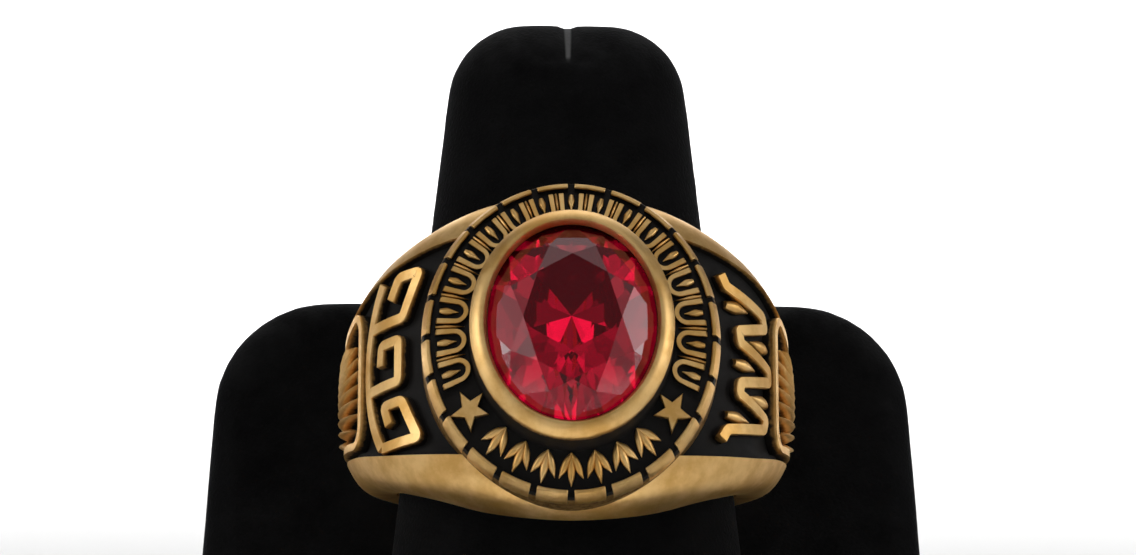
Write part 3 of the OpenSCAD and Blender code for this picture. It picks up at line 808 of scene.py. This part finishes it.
# The pieces
for name, build, angle in (("shank", build_band, 50), ("head_plate", build_plate, 40)):
    solid = Shape()
    build(solid)
    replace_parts(solid.piece(name, GOLD, angle), "ring_casting")

for name, build, angle in (("rim_bars", build_rim, 30), ("field_ornament", build_field, 40)):
    relief = Shape()
    build(relief)
    relief.piece(name, GOLD, angle)

for side, build, name in ((-1, build_key, "left_panel_relief"),
                          (1, build_zigzag, "right_panel_relief")):
    relief = Shape()
    for ornament in (build, build_border, build_fan):
        ornament(relief, on_panel(side))
    relief.piece(name, GOLD, 40)

stone_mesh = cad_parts["stone"].data
stone_mesh.materials.clear()
stone_mesh.materials.append(STONE)


# The velvet-covered stand

# Uneven pile: its height, and how many of its two waves there are in a metre
NAP_H, NAP_WAVE, NAP_FINE = 0.00003, 190, 900
# How much the cover's edges are eased, and how often
EASE, EASE_ROUNDS = 0.5, 10


def velvet_piece(name, node, voxel, seam):
    """A fabric cover in a solid's place: eased at its edges, with uneven pile and sewn seams.

    seam(points) gives how deep each point lies in a seam, in metres, and its share of the painted
    highlight."""
    thing = bpy.data.objects.new(name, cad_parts[node].data.copy())
    bpy.context.scene.collection.objects.link(thing)
    cover = thing.modifiers.new("cover", "REMESH")
    cover.mode, cover.voxel_size = "VOXEL", voxel
    ease = thing.modifiers.new("ease", "SMOOTH")
    ease.factor, ease.iterations = EASE, EASE_ROUNDS
    ready = thing.evaluated_get(bpy.context.evaluated_depsgraph_get())
    mesh = bpy.data.meshes.new_from_object(ready)
    thing.modifiers.clear()
    thing.data = mesh
    mesh.name = name
    count = len(mesh.vertices)
    points, normals = np.empty(count * 3), np.empty(count * 3)
    mesh.vertices.foreach_get("co", points)
    mesh.vertex_normals.foreach_get("vector", normals)
    points, normals = points.reshape(-1, 3), normals.reshape(-1, 3)
    wave = np.array([hash_noise.noise(Vector(p) * NAP_WAVE)
                     + 0.5 * hash_noise.noise(Vector(p) * NAP_FINE) for p in points])
    deep, fold_glint = seam(points)
    moved = points + normals * (NAP_H * wave - deep)[:, None]
    moved[:, 2] = np.maximum(moved[:, 2], 0)
    mesh.vertices.foreach_set("co", moved.reshape(-1))
    # Each point's share of the painted highlight in the fold
    attribute = mesh.attributes.new("fold_glint", "FLOAT", "POINT")
    attribute.data.foreach_set("value", fold_glint.astype(np.float32))
    mesh.shade_smooth()
    mesh.materials.clear()
    mesh.materials.append(VELVET)
    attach(thing, "root")
    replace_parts(thing, node)


def from_world(points):
    """The row's frame in metres to the ring's frame in millimetres."""
    return (np.asarray(points) * 1000 - ORIGIN) @ TURN


def bell(x, width):
    return np.exp(-(x / width) ** 2)


# Widths and places of the seams, in millimetres
SEAM_W, CREASE_W, WRAP_W = 0.35, 0.3, 0.4
FOLD_END, CREASE_HALF = 3.6, 1.5
WRAP_IN, FOOT_SEAM_Z = 1.5, 1.3
# Depths of the seams, in metres
FOLD_DEEP, BACK_DEEP, CREASE_DEEP, FOOT_DEEP, WRAP_HIGH = 0.0002, 0.00016, 0.00008, 0.00018, 0.0001


def finger_seam(points):
    """The cover is folded shut at the tip, creased below the fold and sewn down its back; the fold
    at the tip gets its share of painted highlight.
    """
    x, y, z = from_world(points).T
    line = bell(x, SEAM_W)
    fold = line * (y < 1) * smooth(z, FINGER_UP - 3.7, FINGER_UP - 3.0)
    down_back = line * (y > 1) * smooth(z, -RING_UP, -RING_UP + 2)
    crease = bell(z - (FINGER_UP - FOLD_END), CREASE_W) * (y < 0) * (np.abs(x) < CREASE_HALF)
    deep = FOLD_DEEP * fold + BACK_DEEP * down_back + CREASE_DEEP * crease
    return deep, np.minimum(1.0, fold * 3)


def base_seam(points):
    """A seam runs round the foot just above the ground, and a wrapped edge up the panel."""
    x, y, z = from_world(points).T
    at_panel = (np.abs(y - PANEL_Y) < 1) * (z < PANEL_UP - SHOULDER_R)
    wrap = bell(np.abs(x) - (SHOULDER_W / 2 - WRAP_IN), WRAP_W) * at_panel
    foot = bell(points[:, 2] * 1000 - FOOT_SEAM_Z, SEAM_W)
    return FOOT_DEEP * foot - WRAP_HIGH * wrap, np.zeros(len(points))


velvet_piece("finger_cover", "stand_finger", 0.0004, finger_seam)
velvet_piece("base_cover", "stand_base", 0.0005, base_seam)

# Camera

# In the ring's frame: how far the camera looks up the finger hole and from the left. Distance
# in millimetres, focal length in pixels of the photograph
TILT, YAW, DISTANCE, FOCAL = math.radians(18.5), math.radians(-1.2), 300.0, 5340.0
PHOTO_W, PHOTO_H = 1136, 555
# The point that the camera looks at, in the middle of the head, and its pixel
AIM, AIM_PIXEL = [0, -13.25, 0], (571.3, 337.3)
turned = np.array([[math.cos(YAW), math.sin(YAW), 0],
                   [-math.sin(YAW), math.cos(YAW), 0],
                   [0, 0, 1]]) @ TURN.T
right = np.array([1, 0, 0]) @ turned
up = np.array([0, -math.sin(TILT), math.cos(TILT)]) @ turned
back = np.array([0, -math.cos(TILT), -math.sin(TILT)]) @ turned
lens = bpy.data.cameras.new("camera")
lens.sensor_width = 36.0
lens.lens = FOCAL / PHOTO_W * lens.sensor_width
lens.shift_x = (PHOTO_W / 2 - AIM_PIXEL[0]) / PHOTO_W
lens.shift_y = (AIM_PIXEL[1] - PHOTO_H / 2) / PHOTO_W
lens.clip_start, lens.clip_end = 0.01, 50.0
camera = bpy.data.objects.new("camera", lens)
place = to_world([AIM])[0] + back * DISTANCE / 1000
camera.matrix_world = Matrix([[right[i], up[i], back[i], place[i]] for i in range(3)]
                             + [[0, 0, 0, 1]])
bpy.context.scene.collection.objects.link(camera)
bpy.context.scene.camera = camera

# Floor and light
FLOOR = 6  # metres from the middle to each edge
floor_mesh = bpy.data.meshes.new("floor")
floor_mesh.from_pydata([(-FLOOR, -FLOOR, 0), (FLOOR, -FLOOR, 0), (FLOOR, FLOOR, 0),
                        (-FLOOR, FLOOR, 0)], [], [(0, 1, 2, 3)])
floor = bpy.data.objects.new("floor", floor_mesh)
bpy.context.scene.collection.objects.link(floor)
pale, _, _, pale_shader = material("pale_floor")
pale_shader.inputs["Base Color"].default_value = (0.62, 0.62, 0.62, 1)
pale_shader.inputs["Roughness"].default_value = 0.9
floor_mesh.materials.append(pale)

# Soft lights all round: azimuth from the front towards the right, elevation, angular radius,
# softness and strength over the sky's. The first is a dark place, which the stone's table mirrors.
SKY = 0.14
LIGHTS = [
    (2, 44.5, 6, 3, -0.06),
    (-86, 16, 12, 5, 3.4),
    (85, 16, 12, 5, 3.4),
    (180, 62, 20, 8, 0.7),
    (180, 28, 20, 8, 1.5),
    (180, 4, 16, 8, 1.5),
    (-50, 52, 18, 9, 0.22),
    (50, 52, 18, 9, 0.22),
    (-3, 24, 14, 6, 0.14),
    (0, 76, 15, 6, 0.55),
    (-34, 29, 8, 4, 1.1),
    (34, 29, 7, 4, 1.1)]

world = bpy.data.worlds.new("studio")
bpy.context.scene.world = world
world.use_nodes = True
nodes, links = world.node_tree.nodes, world.node_tree.links
way = nodes.new("ShaderNodeTexCoord").outputs["Generated"]


def toward(azimuth, elevation):
    a, e = math.radians(azimuth), math.radians(elevation)
    return Vector((math.sin(a) * math.cos(e), -math.cos(a) * math.cos(e), math.sin(e)))


def lobe(direction, radius, soft):
    """1 within radius of the direction and 0 outside it, in degrees, with a soft edge."""
    dot = nodes.new("ShaderNodeVectorMath")
    dot.operation = "DOT_PRODUCT"
    links.new(way, dot.inputs[0])
    dot.inputs[1].default_value = direction
    outer, inner = math.radians(radius + soft), math.radians(radius - soft)
    return ramp_share(nodes, links, dot.outputs["Value"], math.cos(outer), math.cos(inner))


total = SKY
for azimuth, elevation, radius, soft, strength in LIGHTS:
    spot = lobe(toward(azimuth, elevation), radius, soft)
    total = calc(nodes, links, "ADD", calc(nodes, links, "MULTIPLY", spot, strength), total)
total = calc(nodes, links, "MAXIMUM", total, 0.0)
# The camera itself sees plain white past the floor
background = nodes["Background"]
links.new(total, background.inputs["Strength"])
background.inputs["Color"].default_value = (1, 1, 1, 1)
plain = nodes.new("ShaderNodeBackground")
plain.inputs["Strength"].default_value = 1.0
plain.inputs["Color"].default_value = (1, 1, 1, 1)
direct = nodes.new("ShaderNodeLightPath").outputs["Is Camera Ray"]
both = nodes.new("ShaderNodeMixShader")
links.new(direct, both.inputs[0])
links.new(background.outputs[0], both.inputs[1])
links.new(plain.outputs[0], both.inputs[2])
links.new(both.outputs[0], nodes["World Output"].inputs["Surface"])


# Lamps for the floor, which gold and stone don't mirror: place, the point each aims at, width,
# depth, power and spread
LAMPS = {
    "floor_light": ((0, 0.56, 0.25), (0, 0.56, 0), 0.9, 0.86, 6.5, 70),
    "left_floor_light": ((-0.62, 0.1, 0.25), (-0.62, 0.1, 0), 0.86, 1.2, 4.6, 70),
    "right_floor_light": ((0.62, 0.1, 0.25), (0.62, 0.1, 0), 0.86, 1.2, 4.6, 70),
    "far_floor_light": ((0, -0.82, 0.25), (0, -0.82, 0), 1.4, 0.86, 5.2, 70),
    "front_floor_light": ((0, -0.034, 0.12), (0, -0.028, 0), 0.07, 0.012, 0.016, 42)}

for name, (at, aim, width, depth, power, spread) in LAMPS.items():
    light = bpy.data.lights.new(name, "AREA")
    light.shape = "RECTANGLE"
    light.size, light.size_y, light.energy = width, depth, power
    light.spread = math.radians(spread)
    lamp = bpy.data.objects.new(name, light)
    lamp.location = at
    lamp.rotation_mode = "QUATERNION"
    lamp.rotation_quaternion = (Vector(aim) - Vector(at)).to_track_quat("-Z", "Y")
    lamp.visible_camera = lamp.visible_glossy = lamp.visible_transmission = False
    bpy.context.scene.collection.objects.link(lamp)

bpy.context.scene.view_settings.view_transform = "Standard"
bpy.context.scene.view_settings.look = "None"
